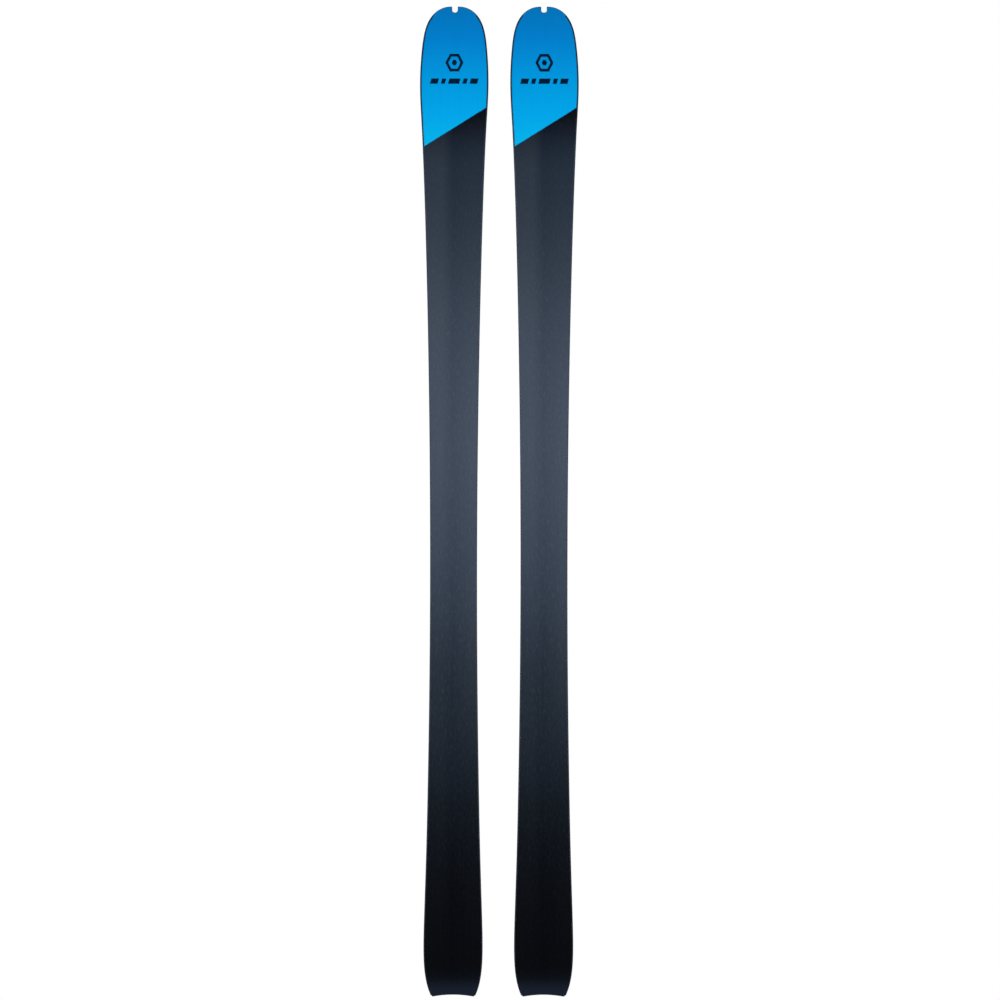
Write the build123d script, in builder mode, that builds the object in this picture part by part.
from build123d import *
import math
import os

# A pair of alpine-touring skis without bindings, lying base down on level snow.
#
# Frame: +X along the skis, from the tails to the tips; +Y to the skier's left;
# +Z up. The origin is on the snow, at mid-length, midway between the two skis.
# Both skis are the same: neither outline nor base is mirrored.
#
# Every layer of a ski follows one side profile: the running base's lower
# surface (camber underfoot, a long rocker at the tip, a short kick at the
# tail). A level is a distance from that surface, measured square to it.

# ---------------------------------------------------------------- dimensions
HALF_LENGTH = 850.0          # tail at -850, tip at +850
SKI_PITCH = 154.0            # centreline to centreline
SKI_Y = {"left": SKI_PITCH / 2, "right": -SKI_PITCH / 2}

# side profile of the base
CAMBER = 4.5                 # height of the flat under the boot
FLAT_REAR, FLAT_FRONT = -230.0, 90.0
REAR_CONTACT, FRONT_CONTACT = -770.0, 560.0
TAIL_KICK = 6.5
TIP_RISE_A, TIP_RISE_B = 51.5, 6.5

# levels of the layers
BASE_T = 1.2                 # running base
EDGE_T = 2.0                 # height of the steel edge's body
FLANGE_TOP = 1.7             # top of the edge's anchor flange
LOWER_TOP = 2.6              # top of the lower laminate, where the core begins
PLATE_T = 0.6                # binding reinforcement, let into the core's top
UPPER_T = 0.7                # upper laminate
SHEET_T = 0.5                # topsheet

# core thickness along the ski: x, thickness
CORE_TABLE = [(-870, 1.9), (-800, 2.4), (-600, 3.6), (-400, 5.6), (-230, 7.0),
              (90, 7.0), (300, 5.7), (500, 3.7), (700, 1.8), (870, 0.9)]

# distances in from the outline
EDGE_W = 2.0                 # steel edge's body
FLANGE_IN = 5.5              # inner end of its anchor flange
WALL_OUT = 0.35              # sidewall stands in by this much
WALL_W = 8.0                 # inner face of the sidewall
TOP_IN = 1.7                 # upper laminate and topsheet stand in by this much

# ends
EDGE_FRONT = 832.0           # steel edges stop here, before the tip slot
CORE_REAR, CORE_FRONT = -800.0, 700.0
NOTCH_HALF, NOTCH_DEPTH, NOTCH_R = 4.8, 11.8, 4.5
NOTCH_LIP_R = 1.2
TAIL_ARC_HALF, TAIL_ARC_DEPTH = 33.0, 3.1
TAIL_CORNER_R = 3.5

# the seam between the tip inlay and the main base: two points, x and y from
# the ski's own centreline
SEAM_A, SEAM_B = (595.0, -53.0), (665.0, 57.0)

# binding reinforcement
BOOT_CENTRE = -70.0
PLATE_LENGTH, PLATE_WIDTH = 420.0, 54.0

# wood core: the hard stringers' inner and outer faces, from the centreline
STRINGERS = [(9.0, 13.0), (22.0, 26.0)]

# half outline: x and half-width, from the tip's middle to past the tail corner
RIM = [(850.15, 0.0), (849.98, 5.8), (849.50, 11.9), (848.14, 17.8), (845.90, 23.17),
       (842.78, 28.31), (838.23, 33.72), (832.20, 38.88), (824.50, 43.62),
       (815.39, 47.58), (803.80, 50.95), (790.00, 53.45), (774.09, 55.30),
       (756.18, 56.75), (735.28, 57.90), (710.32, 58.42), (680.19, 57.78),
       (640.34, 55.54), (590.35, 53.08), (520.51, 50.38), (420.43, 47.35),
       (280.59, 44.10), (120.64, 41.55), (-39.32, 40.21), (-199.49, 40.16),
       (-359.46, 41.47), (-499.34, 43.63), (-599.47, 45.82), (-669.36, 47.90),
       (-714.23, 49.32), (-744.25, 50.10), (-767.39, 50.30), (-787.26, 49.84),
       (-804.24, 48.61), (-819.14, 46.52), (-832.79, 43.43), (-844.95, 39.35),
       (-856.00, 34.40)]


# ------------------------------------------------------------- side profile
def base_height(x):
    """Height of the base's lower surface over the snow."""
    def ease(w):
        return w ** 3 * (10 - 15 * w + 6 * w * w)
    if x < REAR_CONTACT:
        return TAIL_KICK * ((REAR_CONTACT - x) / 80.0) ** 2.4
    if x < FLAT_REAR:
        return CAMBER * ease((x - REAR_CONTACT) / (FLAT_REAR - REAR_CONTACT))
    if x <= FLAT_FRONT:
        return CAMBER
    if x <= FRONT_CONTACT:
        return CAMBER * ease((FRONT_CONTACT - x) / (FRONT_CONTACT - FLAT_FRONT))
    d = (x - FRONT_CONTACT) / (HALF_LENGTH - FRONT_CONTACT)
    return TIP_RISE_A * d ** 2.2 + TIP_RISE_B * d ** 4


def core_thickness(x):
    """Core thickness, eased between the table's values without overshoot."""
    t = CORE_TABLE
    n = len(t)
    slopes = []
    for i in range(n):
        if i == 0 or i == n - 1:
            slopes.append(0.0)
            continue
        a = (t[i][1] - t[i - 1][1]) / (t[i][0] - t[i - 1][0])
        b = (t[i + 1][1] - t[i][1]) / (t[i + 1][0] - t[i][0])
        slopes.append(0.0 if a * b <= 0 else 2 * a * b / (a + b))
    for i in range(n - 1):
        x0, y0 = t[i]
        x1, y1 = t[i + 1]
        if x <= x1:
            h = x1 - x0
            s = max(0.0, min(1.0, (x - x0) / h))
            return ((1 + 2 * s) * (1 - s) ** 2 * y0 + s * (1 - s) ** 2 * h * slopes[i]
                    + s * s * (3 - 2 * s) * y1 + s * s * (s - 1) * h * slopes[i + 1])
    return t[-1][1]


# the level curves are chains of arcs, each through three stations in a row
REAR_STATIONS = [-868, -842, -816, -793, REAR_CONTACT, -690, -610, -500, -390, -310, FLAT_REAR]
FRONT_STATIONS = [FLAT_FRONT, 185, 280, 375, 470, 520, 570, 610, 650, 695, 740, 772, 804,
                  837, 870]


def level_points(stations, level):
    """Points at a level over the base; level may be a number or a function of x."""
    points = []
    for x in stations:
        slope = (base_height(x + 0.05) - base_height(x - 0.05)) / 0.1
        q = level(x) if callable(level) else level
        n = math.hypot(slope, 1.0)
        points.append((x - q * slope / n, base_height(x) + q / n))
    return points


def core_top(x):
    return LOWER_TOP + core_thickness(x)


def plate_bottom(x):
    return core_top(x) - PLATE_T


def laminate_top(x):
    return core_top(x) + UPPER_T


def sheet_top(x):
    return core_top(x) + UPPER_T + SHEET_T


def arc_chain(points):
    """Arcs through points 0, 1, 2 then 2, 3, 4 and so on, straight where the bow is nil."""
    for a, b, c in zip(points[0::2], points[1::2], points[2::2]):
        chord = math.dist(a, c)
        bow = abs((c[0] - a[0]) * (b[1] - a[1]) - (c[1] - a[1]) * (b[0] - a[0])) / chord
        if bow > 0.01:
            ThreePointArc(a, b, c)
        else:
            Line(a, c)


def draw_level(level):
    """Draw one level as rear curve, straight flat and front curve. Returns its ends."""
    rear = level_points(REAR_STATIONS, level)
    front = level_points(FRONT_STATIONS, level)
    arc_chain(rear)
    Line(rear[-1], front[0])
    arc_chain(front)
    return rear[0], front[-1]


def layer(y, lower, upper, mode=Mode.ADD):
    """A slab between two levels, wider than the ski, at a ski's plane."""
    with BuildSketch(Plane.XZ.offset(-y)) as profile:
        with BuildLine():
            low_rear, low_front = draw_level(lower)
            top_rear, top_front = draw_level(upper)
            Line(low_rear, top_rear)
            Line(low_front, top_front)
        make_face()
    extrude(profile.sketch, amount=75, both=True, mode=mode)


# ------------------------------------------------------------- plan outline
with BuildLine() as half_rim:
    Spline(*RIM)
RIM_EDGE = half_rim.line.edges()[0]
# the outline is a chain of arcs through these shares of its length
RIM_SAMPLES = [0, .004, .008, .012, .016, .021, .026, .032, .038, .046, .054, .066, .078,
               .1, .125, .16, .2, .35, .5, .65, .8, .87, .91, .935, .955, .9725, 1.0]


def rim_points(inset):
    """The half outline moved in by a distance, square to itself."""
    points = []
    for t in RIM_SAMPLES:
        p = RIM_EDGE.position_at(t)
        d = RIM_EDGE.tangent_at(t)
        n = Vector(-1, 0) if t == 0 else Vector(-abs(d.Y) * (1 if d.Y > 0 else -1), d.X)
        points.append((p.X + n.X * inset, p.Y + n.Y * inset))
    return points


def draw_rim(inset):
    """Closed plan of the area inside the outline at an inset, running past the tail."""
    side = rim_points(inset)
    with BuildLine() as rim:
        arc_chain(side)
        arc_chain([(x, -h) for x, h in side])
        Line(side[-1], (side[-1][0], -side[-1][1]))
    make_face(rim.edges())


def cut_outline(y):
    """Trim the current part to one ski's outline, with the tip slot and the tail arc."""
    with BuildSketch(Plane((0, y, -30))) as outline:
        draw_rim(0.0)
        with BuildLine():
            Polyline((-HALF_LENGTH, TAIL_ARC_HALF), (-HALF_LENGTH, 60), (-HALF_LENGTH - 30, 60),
                     (-HALF_LENGTH - 30, -60), (-HALF_LENGTH, -60), (-HALF_LENGTH, -TAIL_ARC_HALF))
            ThreePointArc((-HALF_LENGTH, TAIL_ARC_HALF), (-HALF_LENGTH + TAIL_ARC_DEPTH, 0),
                          (-HALF_LENGTH, -TAIL_ARC_HALF))
        make_face(mode=Mode.SUBTRACT)
        corners = outline.vertices().filter_by(
            lambda v: v.X < -HALF_LENGTH + 1 and abs(v.Y) > TAIL_ARC_HALF + 1)
        fillet(corners, TAIL_CORNER_R)
        with BuildLine():
            inner = HALF_LENGTH - NOTCH_DEPTH
            FilletPolyline((HALF_LENGTH + 9, NOTCH_HALF), (inner, NOTCH_HALF),
                           (inner, -NOTCH_HALF), (HALF_LENGTH + 9, -NOTCH_HALF), radius=NOTCH_R)
            Line((HALF_LENGTH + 9, NOTCH_HALF), (HALF_LENGTH + 9, -NOTCH_HALF))
        make_face(mode=Mode.SUBTRACT)
        lips = outline.vertices().filter_by(
            lambda v: v.X > HALF_LENGTH - 1 and abs(abs(v.Y) - NOTCH_HALF) < 0.2)
        fillet(lips, NOTCH_LIP_R)
    extrude(outline.sketch, amount=120, mode=Mode.INTERSECT)


def cut_rim(y, inset, mode=Mode.INTERSECT):
    """Keep, or take away, what lies inside the outline at an inset."""
    with BuildSketch(Plane((0, y, -30))) as inside:
        draw_rim(inset)
    extrude(inside.sketch, amount=120, mode=mode)


def keep_x(low=None, high=None):
    """Cut the current part square across, keeping low < x < high."""
    if low is not None:
        split(bisect_by=Plane((low, 0, 0), z_dir=(1, 0, 0)), keep=Keep.TOP)
    if high is not None:
        split(bisect_by=Plane((high, 0, 0), z_dir=(1, 0, 0)), keep=Keep.BOTTOM)


def keep_side(y, sign):
    """Keep the half of the current part on one side of the ski's centreline."""
    split(bisect_by=Plane((0, y, 0), z_dir=(0, sign, 0)), keep=Keep.TOP)


def seam_plane(y):
    """Plane of the butt joint between the tip inlay and the main base; its
    positive side is the tip's."""
    along = Vector(SEAM_B[0] - SEAM_A[0], SEAM_B[1] - SEAM_A[1], 0)
    return Plane((SEAM_A[0], y + SEAM_A[1], 0), x_dir=along, z_dir=(along.Y, -along.X, 0))


def cut_plate(y, mode):
    """Plan of the binding reinforcement: a long plate with rounded corners."""
    with BuildSketch(Plane((BOOT_CENTRE, y, -30))) as plate:
        RectangleRounded(PLATE_LENGTH, PLATE_WIDTH, 9)
    extrude(plate.sketch, amount=120, mode=mode)


def cut_stringers(y, mode):
    """Plan of the core's hard stringers, four straight strips."""
    with BuildSketch(Plane((0, y, -30))) as strips:
        for inner, outer in STRINGERS:
            with Locations((0, (inner + outer) / 2), (0, -(inner + outer) / 2)):
                Rectangle(2 * HALF_LENGTH + 60, outer - inner)
    extrude(strips.sketch, amount=120, mode=mode)


def save(builder, name):
    """Label a finished piece and write it to its own file."""
    builder.part.label = name
    export_step(builder.part, f"parts/{name}.step")


os.makedirs("parts", exist_ok=True)

# -------------------------------------------------------------------- skis
for side, y in SKI_Y.items():

    # black sintered base, from the seam to the tail
    with BuildPart() as base_main:
        layer(y, 0.0, BASE_T)
        cut_outline(y)
        cut_rim(y, EDGE_W)
        split(bisect_by=seam_plane(y), keep=Keep.BOTTOM)
    save(base_main, f"{side}_base_main")

    # tip section of the base, out to the rim where the steel edges stop
    with BuildPart() as base_tip_inlay:
        layer(y, 0.0, BASE_T)
        cut_outline(y)
        with BuildSketch(Plane((0, y, -30))):
            draw_rim(EDGE_W)
            with Locations((EDGE_FRONT + 30, 0)):
                Rectangle(60, 130)
        extrude(amount=120, mode=Mode.INTERSECT)
        split(bisect_by=seam_plane(y), keep=Keep.TOP)
    save(base_tip_inlay, f"{side}_base_tip_inlay")

    # steel edges: a square bar with a thin anchor flange let in over the base
    for place, sign in (("inner", -1 if y > 0 else 1), ("outer", 1 if y > 0 else -1)):
        with BuildPart() as under_flange:
            layer(y, -2.0, BASE_T)
            cut_rim(y, EDGE_W)
        with BuildPart() as over_flange:
            layer(y, FLANGE_TOP, EDGE_T + 2.0)
            cut_rim(y, EDGE_W)
        with BuildPart() as edge:
            layer(y, 0.0, EDGE_T)
            cut_outline(y)
            cut_rim(y, FLANGE_IN, Mode.SUBTRACT)
            add(under_flange.part, mode=Mode.SUBTRACT)
            add(over_flange.part, mode=Mode.SUBTRACT)
            keep_x(high=EDGE_FRONT)
            keep_side(y, sign)
        save(edge, f"{side}_edge_{place}")

    # rubber foil over the flanges
    with BuildPart() as edge_rubber:
        layer(y, FLANGE_TOP, EDGE_T)
        cut_outline(y)
        cut_rim(y, EDGE_W)
        cut_rim(y, FLANGE_IN, Mode.SUBTRACT)
        keep_x(high=EDGE_FRONT)
    save(edge_rubber, f"{side}_edge_rubber")

    # fibre sheet between the flanges, full width ahead of them
    with BuildPart() as inner_laminate:
        layer(y, BASE_T, EDGE_T)
        cut_outline(y)
        with BuildSketch(Plane((0, y, -30))):
            draw_rim(FLANGE_IN)
            with Locations((EDGE_FRONT + 30, 0)):
                Rectangle(60, 130)
        extrude(amount=120, mode=Mode.INTERSECT)
    save(inner_laminate, f"{side}_inner_laminate")

    # full-width fibre sheet over base and edges
    with BuildPart() as lower_laminate:
        layer(y, EDGE_T, LOWER_TOP)
        cut_outline(y)
    save(lower_laminate, f"{side}_lower_laminate")

    # light wide strips of the wood core
    with BuildPart() as plate_pocket:
        layer(y, plate_bottom, lambda x: core_top(x) + 2.0)
        cut_plate(y, Mode.INTERSECT)
    with BuildPart() as core_paulownia:
        layer(y, LOWER_TOP, core_top)
        cut_rim(y, WALL_W)
        cut_stringers(y, Mode.SUBTRACT)
        keep_x(CORE_REAR, CORE_FRONT)
        add(plate_pocket.part, mode=Mode.SUBTRACT)
    save(core_paulownia, f"{side}_core_paulownia")

    # hard stringers glued between them
    with BuildPart() as core_poplar:
        layer(y, LOWER_TOP, core_top)
        cut_rim(y, WALL_W)
        cut_stringers(y, Mode.INTERSECT)
        keep_x(CORE_REAR, CORE_FRONT)
        add(plate_pocket.part, mode=Mode.SUBTRACT)
    save(core_poplar, f"{side}_core_poplar")

    # reinforcement that the binding's screws bite into
    with BuildPart() as binding_plate:
        layer(y, plate_bottom, core_top)
        cut_plate(y, Mode.INTERSECT)
    save(binding_plate, f"{side}_binding_plate")

    # sidewalls along the core
    for place, sign in (("inner", -1 if y > 0 else 1), ("outer", 1 if y > 0 else -1)):
        with BuildPart() as sidewall:
            layer(y, LOWER_TOP, core_top)
            cut_rim(y, WALL_OUT)
            cut_rim(y, WALL_W, Mode.SUBTRACT)
            keep_x(CORE_REAR, CORE_FRONT)
            keep_side(y, sign)
        save(sidewall, f"{side}_sidewall_{place}")

    # plastic fillers ahead of and behind the wood
    with BuildPart() as tip_spacer:
        layer(y, LOWER_TOP, core_top)
        cut_outline(y)
        cut_rim(y, WALL_OUT)
        keep_x(low=CORE_FRONT)
    save(tip_spacer, f"{side}_tip_spacer")

    with BuildPart() as tail_spacer:
        layer(y, LOWER_TOP, core_top)
        cut_outline(y)
        cut_rim(y, WALL_OUT)
        keep_x(high=CORE_REAR)
    save(tail_spacer, f"{side}_tail_spacer")

    # fibre sheet over the core
    with BuildPart() as upper_laminate:
        layer(y, core_top, laminate_top)
        cut_outline(y)
        cut_rim(y, TOP_IN)
    save(upper_laminate, f"{side}_upper_laminate")

    # topsheet
    with BuildPart() as topsheet:
        layer(y, laminate_top, sheet_top)
        cut_outline(y)
        cut_rim(y, TOP_IN)
    save(topsheet, f"{side}_topsheet")
